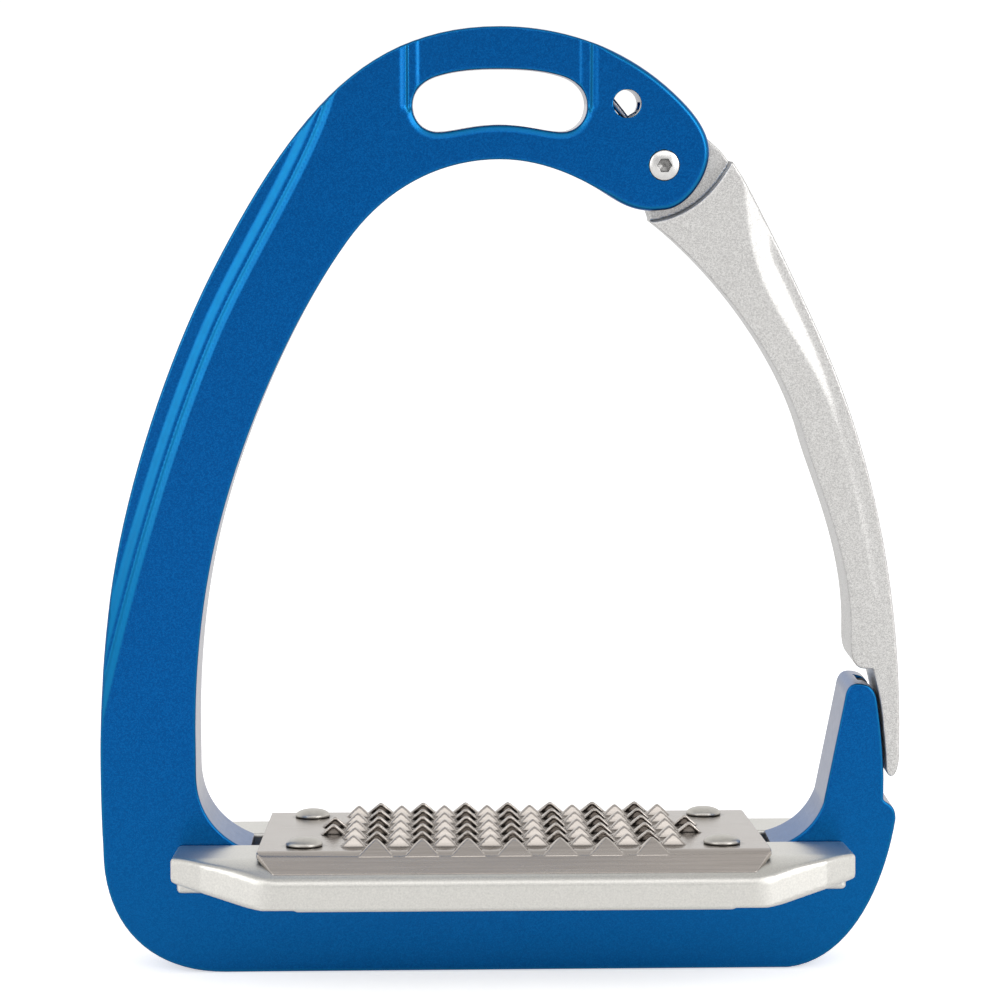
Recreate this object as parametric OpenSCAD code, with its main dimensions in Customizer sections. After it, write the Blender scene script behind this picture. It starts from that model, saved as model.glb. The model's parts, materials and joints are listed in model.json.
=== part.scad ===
// A safety stirrup: a cast frame with an eye for the leather at the top, a sprung release arm
// down its right side, and a tilted tread with a toothed grip plate on its base bar.
// X runs left to right, Y front (-) to rear (+), Z up. The frame is centred on Y = 0 and
// the underside of its base bar lies at Z = 0. Millimetres.

/* [Frame] */
// Thickness of the cast frame and of the release arm, front to back
frame_t = 13; // [12:0.5:15]
// Height of the base bar under the tread
bar_h = 19; // [18:0.5:20]
// Depth of the lowered land along the outer edges of the branch and the arm
land_d = 1.3; // [0.5:0.1:1.6]
// How far each face is thinned above the leather eye
eye_panel_d = 1.3; // [0.6:0.1:2]

/* [Release pivot] */
// Width of the fork slot that takes the arm's tongue
slot_w = 7.2; // [7:0.1:7.6]
// Thickness of the arm's upper tongue
tongue_t = 6; // [5.8:0.1:6]
// Outside radius of the barrel nut that forms the pivot
barrel_r = 2.5; // [2.3:0.05:2.6]
// Radial running clearance between the barrel nut and the bush
run_gap = 0.03; // [0.02:0.01:0.08]
// Radius of the access hole through both fork cheeks
access_r = 2.55; // [2.2:0.05:2.8]
// Wire radius of the return spring
wire_r = 0.6; // [0.5:0.05:0.62]

/* [Tread] */
// Slope of the tread, rear edge lower, in degrees
tread_tilt = 6.2; // [5:0.1:6.5]
// Half length of the tread over its two ends
bed_half = 62.8; // [62:0.1:63]
// Depth of the tread, front to back
bed_depth = 59.6; // [58:0.2:61]
// Thickness of the tread's top wall
bed_wall = 3.2; // [3:0.1:3.6]

/* [Grip plate] */
// Half length of the grip plate
grip_half = 46.9; // [46:0.1:48]
// Height of the raised teeth
tooth_h = 2; // [1:0.1:2.4]
// Spacing of the tooth columns
tooth_pitch = 4.2; // [4:0.05:4.3]
// Spacing of the teeth along one column
row_pitch = 9.1; // [8.8:0.1:9.4]
// Radius of the domed rivet heads
rivet_r = 3.4; // [3:0.1:3.8]
// Height of the rivet heads above the plate
rivet_h = 1.6; // [1:0.1:2]

/* [Tread screws] */
// Distance of each tread screw from the middle of the tread
screw_x = 30; // [24:1:36]
// Shank radius of the tread screws
screw_r = 2.45; // [2.3:0.05:2.45]

/* [Hidden] */

half_t = frame_t / 2;
half_slot = slot_w / 2;
overrun = 1;                // how far a cutter runs past the face it opens
cut_y = half_t + overrun;   // Y reach of cutters through the frame and arm
pivot = [29.9, 151.6];      // pivot axis, X and Z
tread_x = 2.2;              // middle of the tread
tread_z = 24.45;            // top face of the tread at Y = 0

blue = [0.0, 0.36, 0.64];
silver = [0.78, 0.77, 0.75];
steel = [0.7, 0.69, 0.67];
bronze = [0.72, 0.55, 0.25];
washer_grey = [0.2, 0.2, 0.2];
spring_grey = [0.3, 0.3, 0.32];
bumper_black = [0.05, 0.05, 0.06];
screw_grey = [0.25, 0.25, 0.27];
rivet_silver = [0.75, 0.74, 0.72];

// ---- helpers ----
// Point at fraction t of a cubic from a to d with handles b and c
function cubic(a, b, c, d, t) = let (s = 1 - t)
    s*s*s*a + 3*s*s*t*b + 3*s*t*t*c + t*t*t*d;
// Chain of cubics. Each row is [start, first handle, second handle, steps] and runs to
// the next row's start, the last to end. The end point itself is left out.
function curves(rows, end) = [
    for (k = [0 : len(rows) - 1])
        let (row = rows[k], stop = k + 1 < len(rows) ? rows[k + 1][0] : end)
            for (i = [0 : row[3] - 1]) cubic(row[0], row[1], row[2], stop, i / row[3])];
// Points about the pivot axis, X and Z
function polar(r, angle) = [pivot[0] + r*cos(angle), pivot[1] + r*sin(angle)];
function arc(r, first, step, last) = [for (angle = [first : step : last]) polar(r, angle)];
// Rim of a domed head that rises h above height z
function dome(r, z, h) = [for (angle = [15 : 15 : 75]) [r*cos(angle), z + h*sin(angle)]];
// Closed outline from its +X +Y quarter, listed counterclockwise
function scaled(points, sx, sy) = [for (p = points) [sx*p[0], sy*p[1]]];
function four_way(quarter) =
    let (back = [for (i = [len(quarter) - 1 : -1 : 0]) quarter[i]])
        concat(quarter, scaled(back, -1, 1), scaled(quarter, -1, -1), scaled(back, 1, -1));

// A flat outline in X and Z, made solid from y0 to y1
module slab(outline, y0, y1) {
    translate([0, y1, 0]) rotate([90, 0, 0]) linear_extrude(y1 - y0) polygon(outline);
}
// Cutter that lowers both faces of the frame or arm inside an outline
module face_cuts(outline, depth) {
    slab(outline, half_t - depth, cut_y);
    slab(outline, -cut_y, -half_t + depth);
}
// A cross-section in Y and Z, made solid from -half to half along X
module along_x(section, half) {
    rotate([90, 0, 90]) translate([0, 0, -half]) linear_extrude(2*half) polygon(section);
}
// A round bar along Y on an axis given by X and Z
module pin_y(centre, r, y0, y1, sides = 64) {
    translate([centre[0], y1, centre[1]]) rotate([90, 0, 0])
        cylinder(r = r, h = y1 - y0, $fn = sides);
}
// The tread's own frame: origin on its top face, tilted with it
module on_tread() {
    translate([tread_x, 0, tread_z]) rotate([-tread_tilt, 0, 0]) children();
}
module at_screws() {
    for (x = [-screw_x, screw_x]) translate([tread_x + x, 0, 0]) children();
}

// ---- shared hardware sizes ----
barrel_head_r = 3.8;
pivot_head_r = 2.75;
bush_r = 3.2;
coil_r = 4.2;               // centre line of the spring's coil
coil_y = -2.35;             // front end of the coil, and its radial leg
coil_turns = 1.75;
leg_angle = 129;            // direction of the radial leg
leg_end_r = 17;
axial_leg = polar(coil_r, leg_angle - 360*coil_turns);
spring_seat_r = wire_r + 0.1;

// ---- frame outlines, X and Z ----
// Crown, underside of the fork and inner edge of the left branch
crown_and_branch = curves([
    [[0, 176.6], [11.5, 176.6], [23.5, 172.8], 10],
    [[33, 163.3], [35.4, 160.9], [38.2, 157.6], 6],
    [[38.2, 153.8], [38.2, 149.6], [34.2, 143.4], 8],
    [[29.5, 143.4], [26.6, 143], [23.8, 143.6], 4],
    [[21.2, 145.2], [16.5, 148.3], [9, 152.65], 8],
    [[0, 152.65], [-11.5, 152.65], [-21.2, 146.9], 9],
    [[-27.7, 138], [-37.8, 124.3], [-47.7, 102.4], 9],
    [[-52.5, 83], [-55.6, 70.4], [-56.9, 57], 6]], [-56.9, 44]);
branch_foot = curves([[[-56.9, 38], [-56.9, 31], [-53, 26], 8]], [-47, 23.6]);
bar_top = [[-47, 23.6], [-47, bar_h], [51.4, bar_h]];
post_root = curves([[[51.4, 23.6], [56.2, 24.8], [59.9, 28], 8]], [61.3, 33]);
post_tip = curves([
    [[64.7, 52], [64.9, 54], [65.6, 55.1], 5],
    [[67, 55.1], [69.3, 55.1], [70.3, 54.2], 5],
    [[70.8, 52], [71.6, 47], [72.3, 41], 5]], [72.4, 35.2]);
base_right = curves([
    [[72.4, 32.8], [72.9, 31.9], [74.8, 32], 5],
    [[74.8, 29], [72.8, 15], [66, 0], 10]], [53, 0]);
outer_left = curves([
    [[-52, 0], [-66, 0], [-74.8, 9], 10],
    [[-74.6, 24], [-75.05, 38], [-74.9, 55.2], 7],
    [[-72.55, 71.6], [-69.45, 92.4], [-60.95, 117.1], 9],
    [[-51.4, 134.7], [-36.7, 162], [-23.5, 176.6], 12]], [0, 176.6]);
frame_outline = concat(crown_and_branch, branch_foot, bar_top, post_root, post_tip,
    base_right, outer_left);

// Kidney-shaped eye for the stirrup leather, drawn as a right half and its mirror
eye_half = concat(curves([
    [[0, 168.9], [4.5, 168.9], [8, 168.6], 4],
    [[11, 167.7], [14, 166.9], [15.85, 164.9], 6],
    [[15.85, 162.4], [15.85, 159.6], [13.9, 157.6], 6],
    [[11.3, 157.6], [8.5, 157.6], [5, 158.9], 5]], [0, 158.9]), [[0, 158.9]]);
eye_outline = concat(eye_half,
    [for (i = [len(eye_half) - 2 : -1 : 1]) [-eye_half[i][0], eye_half[i][1]]]);

// Lowered land along the left branch: everything outside this line
left_land = concat(
    curves([
        [[-29.5, 165], [-32.2, 153.6], [-44.3, 135.5], 9],
        [[-50.8, 121.1], [-58.8, 103.1], [-67.4, 76.8], 11]], [-75.8, 41]),
    [[-75.8, 41], [-92, 41], [-92, 175], [-34, 175]]);

// Groove in the post's outer face, open at the top
post_groove = [[73, 34], [70, 34], [69.6, 41], [68.9, 47], [68.1, 52], [67.6, 56], [73, 56]];

// ---- arm outlines, X and Z ----
// Full-thickness body: the arc that clears the fork, then the inner edge,
// then from the lip up the outer edge
arm_outline = concat(
    curves([
        [[42.3, 152.4], [39.6, 147.2], [35.2, 142.2], 9],
        [[27.5, 141.3], [41, 131], [52.6, 114.6], 12],
        [[56.4, 101.2], [59, 92.2], [65.8, 79], 9],
        [[65.6, 63.5], [65.6, 59.8], [66.3, 57.9], 6]], [68.6, 57.9]),
    curves([
        [[69.9, 57.9], [70.3, 55.5], [71.6, 52.5], 6],
        [[72.1, 46], [72.5, 43], [72.7, 40.5], 4],
        [[72.75, 38.6], [73, 36.6], [75.1, 36.2], 6],
        [[75.2, 41.4], [75.2, 75], [68.4, 101], 14],
        [[57.6, 123.6], [52.6, 134], [48.5, 142.5], 6]], [43, 151.6]));
// Lowered land along the arm's outer edge
arm_land = concat(
    curves([
        [[43.3, 154], [44.9, 144], [44.2, 135.5], 8],
        [[50.2, 125.4], [55, 117.4], [60.6, 110.4], 8],
        [[64.2, 96.2], [66, 88.6], [68, 81], 4]], [69.4, 72.6]),
    [[69.4, 72.6], [70.2, 69.8], [71.7, 67.6], [73.2, 65], [76.5, 60], [92, 60], [92, 154]]);
tongue_outline = concat(
    arc(8, 243, 12, 327),
    [[45.2, 146.8], [43, 150.9], [40.6, 154], [38.2, 156.2]],
    arc(8.6, 40, 10, 90), arc(10.8, 95, 10, 145), arc(8, 150, 12, 234));
tongue_root = [[26.9, 143.5], [27.6, 141.3], [34, 136.6], [46, 142], [45, 148.5],
    [35.5, 148.5]];
// Rib that enters the groove of the post
arm_rib = [[73.5, 38.6], [71.6, 38.6], [71.5, 41], [71, 46], [70.5, 50], [71.3, 52.5],
    [73, 52.5]];
bumper_outline = [[70.95, 34.3], [70.05, 34.3], [69.65, 41], [68.95, 47], [68.15, 52],
    [67.9, 54.5], [69.3, 54.5], [69.6, 52], [70.15, 47], [70.75, 41]];

// ---- frame ----
eye_panel = [31.2, 20];     // thinned panel over the eye, X and Z
eye_panel_z = 162.4;
access_hole = [23.1, 162.7];

module fork_slot() {
    difference() {
        pin_y(pivot, 12, -half_slot, half_slot);
        // web left in the slot: closes it from below and stops the arm fully open
        slab(concat(arc(8.5, 213, 30, 213), [polar(8.25, 228), polar(8.5, 243),
            polar(16, 243), polar(16, 213)]), -half_slot - overrun, half_slot + overrun);
    }
}
module pivot_bore() {
    pin_y(pivot, barrel_r + 0.03, -cut_y, cut_y);
    // front seat for the screw head, rear seat for the barrel head
    pin_y(pivot, pivot_head_r + 0.09, -cut_y, -half_t + 1);
    pin_y(pivot, barrel_head_r + 0.1, half_t - 1.2, cut_y);
}
// Blind seat of the spring's radial leg
module radial_leg_seat() {
    translate([pivot[0], coil_y, pivot[1]]) rotate([0, -leg_angle, 0]) rotate([0, 90, 0])
        cylinder(r = spring_seat_r, h = leg_end_r + 0.3, $fn = 32);
}
module frame() color(blue) difference() {
    slab(frame_outline, -half_t, half_t);
    slab(eye_outline, -cut_y, cut_y);
    for (y = [half_t - eye_panel_d, -cut_y])
        translate([-eye_panel[0]/2, y, eye_panel_z])
            cube([eye_panel[0], eye_panel_d + overrun, eye_panel[1]]);
    face_cuts(left_land, land_d);
    fork_slot();
    pivot_bore();
    // reaches the spring leg
    pin_y(access_hole, access_r, -cut_y, cut_y);
    radial_leg_seat();
    slab(post_groove, -2.1, 2.1);
    // tread screws from below: clearance hole and head recess
    at_screws() translate([0, 0, -overrun]) {
        cylinder(r = screw_r + 0.3, h = bar_h + 2*overrun, $fn = 48);
        cylinder(r = 4.75, h = 9 + overrun, $fn = 64);
    }
}

// ---- release arm ----
pocket_y = 0.7;             // rear floor of the spring's pocket

module release_arm() color(silver) difference() {
    union() {
        difference() {
            slab(arm_outline, -half_t, half_t);
            face_cuts(arm_land, land_d);
        }
        slab(tongue_outline, -tongue_t/2, tongue_t/2);
        // buried in the full-thickness body
        slab(tongue_root, -tongue_t/2, tongue_t/2);
        slab(arm_rib, -1.75, 1.75);
    }
    pin_y(pivot, bush_r + 0.02, -half_t, half_t);
    // pocket for the coil, and the window in which the radial leg stands
    pin_y(pivot, 5.6, -tongue_t, pocket_y);
    slab([pivot, polar(14, 145), polar(16, 100), polar(14, 55)], -tongue_t, pocket_y);
    pin_y(axial_leg, spring_seat_r, 0, 2.5);
}

// ---- pivot hardware ----
washer_t = 0.5;
washer_gap = 0.05;          // between a thrust washer and its fork cheek

module pivot_barrel() color(steel) difference() {
    union() {
        pin_y(pivot, barrel_r, -half_t + 1, half_t - 1);
        pin_y(pivot, barrel_head_r, half_t - 1.18, half_t + 0.1);
    }
    // bore for the pivot screw
    pin_y(pivot, 1.25, -cut_y, 4);
    // driver slot
    translate([pivot[0] - 3, half_t - 0.5, pivot[1] - 0.4]) cube([6, 2, 0.8]);
}
module pivot_screw() color(steel) difference() {
    rim_h = 1.05;
    union() {
        pin_y(pivot, 1.22, -half_t + 0.9, 3);
        // low domed button head
        translate([pivot[0], -half_t + 0.98, pivot[1]]) rotate([90, 0, 0])
            rotate_extrude($fn = 64)
                polygon(concat([[0, 0], [pivot_head_r, 0], [pivot_head_r, rim_h]],
                    dome(pivot_head_r, rim_h, 0.6), [[0, rim_h + 0.6]]));
    }
    // hexagon socket
    translate([pivot[0], -half_t + 0.1, pivot[1]]) rotate([90, 0, 0])
        cylinder(r = 1.15, h = 3, $fn = 6);
}
module pivot_bush() color(bronze) difference() {
    pin_y(pivot, bush_r, -2.98, 2.98);
    pin_y(pivot, barrel_r + run_gap, -4, 4);
}
module thrust_washer(y0) {
    difference() {
        pin_y(pivot, 6.2, y0, y0 + washer_t);
        pin_y(pivot, 2.62, y0 - 1, y0 + 2);
    }
}
module front_thrust_washer() color(washer_grey) thrust_washer(-half_slot + washer_gap);
module rear_thrust_washer() color(washer_grey)
    thrust_washer(half_slot - washer_gap - washer_t);

// Round wire swept along a path of points, with flat ends
function unit(v) = v / norm(v);
module wire(path, r) {
    sides = 8;
    n = len(path);
    tangents = [for (i = [0 : n - 1]) unit(path[min(i + 1, n - 1)] - path[max(i - 1, 0)])];
    // a second reference axis serves where the path runs nearly along Y
    normals = [for (t = tangents) unit(cross(t, abs(t[1]) > 0.8 ? [1, 0.2, 0] : [0, 1, 0]))];
    rings = [
        for (i = [0 : n - 1]) let (u = normals[i], w = cross(tangents[i], u))
            for (k = [0 : sides - 1])
                path[i] + r*(cos(360*k/sides)*u + sin(360*k/sides)*w)];
    polyhedron(points = rings, faces = concat(
        [[for (k = [0 : sides - 1]) k]],
        [for (i = [0 : n - 2]) for (k = [0 : sides - 1]) let (m = (k + 1) % sides)
            [i*sides + k, (i + 1)*sides + k, (i + 1)*sides + m, i*sides + m]],
        [[for (k = [sides - 1 : -1 : 0]) (n - 1)*sides + k]]));
}
// Torsion spring: radial leg in the frame, coil round the bush, axial leg in the arm
module return_spring() color(spring_grey) {
    steps = 42;
    coil_rise = 2.275;
    radial_leg = [for (r = [leg_end_r, 4.9]) let (p = polar(r, leg_angle))
        [p[0], coil_y, p[1]]];
    coil = [
        for (i = [1 : steps]) let (p = polar(coil_r, leg_angle - 360*coil_turns*i/steps))
            [p[0], coil_y + coil_rise*i/steps, p[1]]];
    wire(concat(radial_leg, coil), wire_r);
    pin_y(axial_leg, wire_r, -0.2, 2.3, 32);
}
module closing_bumper() color(bumper_black) slab(bumper_outline, -2, 2);

// ---- tread ----
rivet_x = 38.5;
rivet_y = 17.5;
rivet_shank_r = 2;
rivet_hole_r = rivet_shank_r + 0.05;
skirt_z = -8.7;             // lower edge of the tread, from its top face
rib_half = 9.8;             // half width of the solid middle over the bar
channel_y = half_t + 0.1;   // half width of the channel over the bar
notch_x = 46.2;             // inner end of the notches, from the tread's middle
notch_l = 40;
bed_plan = four_way([[bed_half, 20.7], [57, 24.5], [45, bed_depth/2]]);
// Flat top, falling shoulders, slightly drafted front and back; Y and Z
bed_section = let (half = bed_depth/2) [[-half, -3], [-24.5, 0], [24.5, 0], [half, -3],
    [half - 0.2, skirt_z], [-half + 0.2, skirt_z]];

module at_rivets() {
    for (x = [-rivet_x, rivet_x], y = [-rivet_y, rivet_y]) translate([x, y, 0]) children();
}
module footbed() color(silver) difference() {
    on_tread() difference() {
        intersection() {
            translate([0, 0, -12]) linear_extrude(14) polygon(bed_plan);
            along_x(bed_section, 70);
        }
        // rising underside at the four corners
        for (s = [-1, 1], y0 = [-42, rib_half])
            slab([[s*46, skirt_z], [s*57, -6], [s*70, -3.2], [s*70, -12], [s*46, -12]],
                y0, y0 + 42 - rib_half);
        // hollow underside in front of and behind the bar
        for (s = [-1, 1]) translate([0, 0, -12]) linear_extrude(12 - bed_wall)
            polygon([[-58, s*rib_half], [58, s*rib_half], [58, s*19.2], [54.5, s*21.8],
                [44, s*26.8], [-44, s*26.8], [-54.5, s*21.8], [-58, s*19.2]]);
        at_rivets() translate([0, 0, -6]) cylinder(r = rivet_hole_r, h = 8, $fn = 48);
    }
    // channel over the bar, and the open notches round the two branches
    translate([-80, -channel_y, -1]) cube([160, 2*channel_y, bar_h + 1.02]);
    for (x = [notch_x, -notch_x - notch_l])
        translate([tread_x + x, -channel_y, 0]) cube([notch_l, 2*channel_y, 40]);
    at_screws() translate([0, 0, 10]) cylinder(r = screw_r + 0.05, h = 20, $fn = 48);
}
module footbed_screws() color(screw_grey) at_screws() difference() {
    union() {
        translate([0, 0, 2.9]) cylinder(r = 4.25, h = 4.85, $fn = 64);
        translate([0, 0, 7]) cylinder(r = screw_r, h = 16.6, $fn = 48);
    }
    // hexagon socket
    cylinder(r = 2.31, h = 5.6, $fn = 6);
}
// Split rings above the screw heads
module footbed_lock_washers() color(screw_grey)
    at_screws() translate([0, 0, 7.8]) difference() {
        cylinder(r = 4.2, h = 1.15, $fn = 64);
        translate([0, 0, -1]) cylinder(r = screw_r + 0.1, h = 4, $fn = 48);
        translate([-5, -0.5, -1]) cube([5, 1, 4]);
    }

// ---- grip plate, in the tread's frame ----
grip_top = 1.5;
rivet_gap = 0.03;           // between a rivet and the faces it clamps
fold_tooth_y = 22.6;
grip_plan = four_way([[grip_half, 24.3], [43.3, 28.6]]);
// Flat sheet with both long edges folded down, Y and Z
grip_section = [[-28.3, -2.05], [-24.3, grip_top], [24.3, grip_top], [28.3, -2.05],
    [27.6, -1.68], [24.53, 0.05], [-24.53, 0.05], [-27.6, -1.68]];

module grip_tooth(x, y) {
    // the base is sunk into the plate
    translate([x, y, grip_top - 0.2])
        slab([[-2, 0], [2, 0], [0.3, tooth_h + 0.1], [-0.3, tooth_h + 0.1]], -1.1, 1.1);
}
// Two sets of tooth columns, half a row apart
module grip_teeth() {
    for (col = [-8 : 2 : 8])
        for (row = abs(col) == 8 ? [-0.5, 0.5] : [-1.5, -0.5, 0.5, 1.5])
            grip_tooth(col*tooth_pitch, row*row_pitch);
    for (col = [-7 : 2 : 7], row = [-2 : 2]) grip_tooth(col*tooth_pitch, row*row_pitch);
    // the outermost teeth stand at the folds
    for (col = [-6 : 2 : 6], s = [-1, 1]) grip_tooth(col*tooth_pitch, s*fold_tooth_y);
}
module grip_plate() color(steel) on_tread() difference() {
    union() {
        intersection() {
            along_x(grip_section, 50);
            translate([0, 0, -5]) linear_extrude(10) polygon(grip_plan);
        }
        grip_teeth();
    }
    at_rivets() translate([0, 0, -2]) cylinder(r = rivet_hole_r, h = 6, $fn = 48);
}
// Domed rivets, clinched under the tread's top wall
module grip_rivets() color(rivet_silver) on_tread() at_rivets() {
    head_z = grip_top + rivet_gap;
    clinch_z = -bed_wall - rivet_gap;
    rotate_extrude($fn = 64) polygon(concat(
        [[0, -bed_wall - 1.1], [2.6, -bed_wall - 1.1], [2.9, -bed_wall - 0.8],
            [2.9, clinch_z], [rivet_shank_r, clinch_z],
            [rivet_shank_r, head_z], [rivet_r, head_z]],
        dome(rivet_r, head_z, rivet_h), [[0, head_z + rivet_h]]));
}

frame();
release_arm();
pivot_barrel();
pivot_screw();
pivot_bush();
front_thrust_washer();
rear_thrust_washer();
return_spring();
closing_bumper();
footbed();
footbed_screws();
footbed_lock_washers();
grip_plate();
grip_rivets();
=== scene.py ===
# A safety stirrup iron standing upright: X across it, Y from front (-Y) to back, Z up.
# The release arm closes the +X side and the tread lies across the bottom. Sizes are in
# millimetres until a mesh is made. Most pieces are distance fields, below zero inside,
# meshed where the field is zero.
import json
import math
from itertools import combinations, product

import bpy
import numpy as np
from mathutils import Euler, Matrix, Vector


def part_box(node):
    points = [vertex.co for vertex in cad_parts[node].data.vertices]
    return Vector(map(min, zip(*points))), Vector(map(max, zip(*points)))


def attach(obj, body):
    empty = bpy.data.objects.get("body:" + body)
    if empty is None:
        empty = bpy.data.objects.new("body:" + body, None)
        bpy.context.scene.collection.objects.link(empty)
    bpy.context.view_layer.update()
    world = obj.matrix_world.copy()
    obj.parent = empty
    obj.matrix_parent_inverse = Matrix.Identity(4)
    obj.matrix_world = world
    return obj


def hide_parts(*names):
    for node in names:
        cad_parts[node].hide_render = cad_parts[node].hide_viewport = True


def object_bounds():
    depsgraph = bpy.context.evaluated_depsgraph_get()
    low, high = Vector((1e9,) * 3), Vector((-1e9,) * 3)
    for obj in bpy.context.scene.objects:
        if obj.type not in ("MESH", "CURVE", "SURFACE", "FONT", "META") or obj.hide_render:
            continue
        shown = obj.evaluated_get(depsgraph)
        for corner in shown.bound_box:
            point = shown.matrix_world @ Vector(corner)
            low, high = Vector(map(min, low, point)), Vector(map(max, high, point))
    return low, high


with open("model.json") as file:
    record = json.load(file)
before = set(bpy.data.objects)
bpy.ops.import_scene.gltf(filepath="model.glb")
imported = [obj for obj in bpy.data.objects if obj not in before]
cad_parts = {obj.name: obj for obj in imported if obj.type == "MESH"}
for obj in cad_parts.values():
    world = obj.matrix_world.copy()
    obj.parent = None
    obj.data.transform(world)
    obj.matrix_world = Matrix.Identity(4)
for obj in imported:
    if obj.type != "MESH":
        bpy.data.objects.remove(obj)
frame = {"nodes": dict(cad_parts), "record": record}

cad_lo, cad_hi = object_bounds()
MM = 0.001


# ---------------------------------------------------------------- places taken from the frame
def box_mm(node):
    low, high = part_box(node)
    return np.array(low) / MM, np.array(high) / MM


joint = next(j for j in frame["record"]["behaviour"]["joints"] if j["name"] == "arm_release")
PIVOT_X, _, PIVOT_Z = np.array(joint["pos_m"], float) / MM
FRAME_LOW, FRAME_HIGH = box_mm("frame")
HALF_THICK = (FRAME_HIGH[1] - FRAME_LOW[1]) / 2
# origin of the frame and arm outlines
ORIGIN_X = (FRAME_LOW[0] + FRAME_HIGH[0]) / 2 - 0.02
ORIGIN_Z = FRAME_LOW[2]
SCREWS_LOW, SCREWS_HIGH = box_mm("footbed_screws")
SCREWS_X = [SCREWS_LOW[0] + 4.25, SCREWS_HIGH[0] - 4.25]
BED_LOW, BED_HIGH = box_mm("footbed")
BED_X = (BED_LOW[0] + BED_HIGH[0]) / 2
BED_Z = 24.45 + (BED_HIGH[2] - 27.36)
TILT = math.radians(6.2)  # the tread falls towards the back
COS_TILT, SIN_TILT = math.cos(TILT), math.sin(TILT)

# return spring, wound about the pivot
LEG_ANGLE = 129  # degrees, direction of the straight leg
COIL_SWEEP = 630
END_ANGLE = LEG_ANGLE - COIL_SWEEP + 720
COIL_RADIUS = 4.2
LEG_Y = -2.35

# rivets of the grip plate, in the tread's own frame
RIVET_X, RIVET_Y = 38.5, 17.5


# ---------------------------------------------------------------- outlines
def outline(*rows):
    """Points of an outline from rows of two, nine or seven numbers.

    Two are a point. Nine are a Bezier curve: start, two handles, end, and how many points
    it gives, its end left out. Seven are a curve that starts at the last curve's end.
    """
    points, end = [], ()
    for row in rows:
        if len(row) == 2:
            points.append(row)
            continue
        if len(row) == 7:
            row = (*end, *row)
        a, b, c, d = np.reshape(row[:8], (4, 2)).astype(float)
        t = np.linspace(0, 1, row[8], endpoint=False)[:, None]
        points.extend((1 - t) ** 3 * a + 3 * t * (1 - t) ** 2 * b
                      + 3 * t * t * (1 - t) * c + t ** 3 * d)
        end = row[6:8]
    return np.array(points, float)


def polar(radius, degrees):
    """X and Z of a point around the pivot."""
    angle = math.radians(degrees)
    return [PIVOT_X + radius * math.cos(angle), PIVOT_Z + radius * math.sin(angle)]


def arc(radius, first, stop, step):
    return [polar(radius, degrees) for degrees in range(first, stop, step)]


class OutlineDistance:
    """Signed distance to a closed outline, kept on a grid: below zero inside."""

    def __init__(self, *rows, step=0.2, reach=6.5, margin=2.5):
        points = outline(*rows)
        self.low, self.step = points.min(0) - margin, step
        size = np.ceil((points.max(0) + margin - self.low) / step).astype(int) + 1
        us, vs = (self.low[k] + step * np.arange(size[k]) for k in (0, 1))
        squared = np.full(size, reach * reach)
        flips = np.zeros(size, bool)
        for start, end in zip(points, np.roll(points, -1, 0)):
            edge = end - start
            # nearest point of this edge, for the grid points within reach of it
            first = ((np.minimum(start, end) - reach - self.low) / step).astype(int)
            last = ((np.maximum(start, end) + reach - self.low) / step).astype(int) + 2
            first, last = np.maximum(first, 0), np.minimum(last, size)
            u = us[first[0]:last[0], None] - start[0]
            v = vs[None, first[1]:last[1]] - start[1]
            t = np.clip((u * edge[0] + v * edge[1]) / edge.dot(edge), 0, 1)
            part = squared[first[0]:last[0], first[1]:last[1]]
            np.minimum(part, (u - t * edge[0]) ** 2 + (v - t * edge[1]) ** 2, out=part)
            # rows the edge crosses change between inside and outside there
            rows_hit = np.nonzero((vs >= min(start[1], end[1])) & (vs < max(start[1], end[1])))[0]
            if len(rows_hit):
                cross = start[0] + (vs[rows_hit] - start[1]) * edge[0] / edge[1]
                column = np.ceil((cross - self.low[0]) / step).astype(int)
                flips[np.clip(column, 0, size[0] - 1), rows_hit] ^= True
        inside = np.cumsum(flips, axis=0) % 2 == 1
        self.grid = np.where(inside, -1, 1) * np.sqrt(squared)
        self.size = size

    def __call__(self, x, z):
        u = np.clip((x - self.low[0]) / self.step, 0, self.size[0] - 1.001)
        v = np.clip((z - self.low[1]) / self.step, 0, self.size[1] - 1.001)
        i, j = u.astype(np.int32), v.astype(np.int32)
        u, v = u - i, v - j
        grid = self.grid
        return ((grid[i, j] * (1 - u) + grid[i + 1, j] * u) * (1 - v)
                + (grid[i, j + 1] * (1 - u) + grid[i + 1, j + 1] * u) * v)


# ---------------------------------------------------------------- combining fields
def both(a, b, r):
    """The overlap of a and b, with the edge between them rounded to radius r."""
    return np.minimum(np.maximum(a, b), -r) + np.hypot(np.maximum(a + r, 0), np.maximum(b + r, 0))


def join(a, b, r):
    return -both(-a, -b, r)


def cut(a, b, r):
    return both(a, -b, r)


def ease(t):
    t = np.clip(t, 0, 1)
    return t * t * (3 - 2 * t)


def pivot_distance(x, z):
    return np.hypot(x - PIVOT_X, z - PIVOT_Z)


def hexagon(a, b, corner_radius):
    across = np.maximum(np.abs(b), np.abs(b) * 0.5 + np.abs(a) * 0.8660254)
    return across - corner_radius * math.cos(math.pi / 6)


def slope(y, z, y0, z0, y1, z1):
    """Distance above the line from (y0, z0) to (y1, z1), running outwards and down."""
    dy, dz = y1 - y0, z1 - z0
    return ((y - y0) * -dz + (z - z0) * dy) / math.hypot(dy, dz)


# ---------------------------------------------------------------- meshing
CORNERS = np.array(list(product((0, 1), repeat=3)))


def sample(field, low, size, cell, slab=48):
    """Field values on a grid, worked out a slab at a time to save memory."""
    xs, ys, zs = (low[k] + cell * np.arange(size[k]) for k in range(3))
    values = np.empty(size, np.float32)
    for start in range(0, size[0], slab):
        values[start:start + slab] = field(*np.ix_(xs[start:start + slab], ys, zs))
    values[values == 0] = 1e-6
    return values


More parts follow.
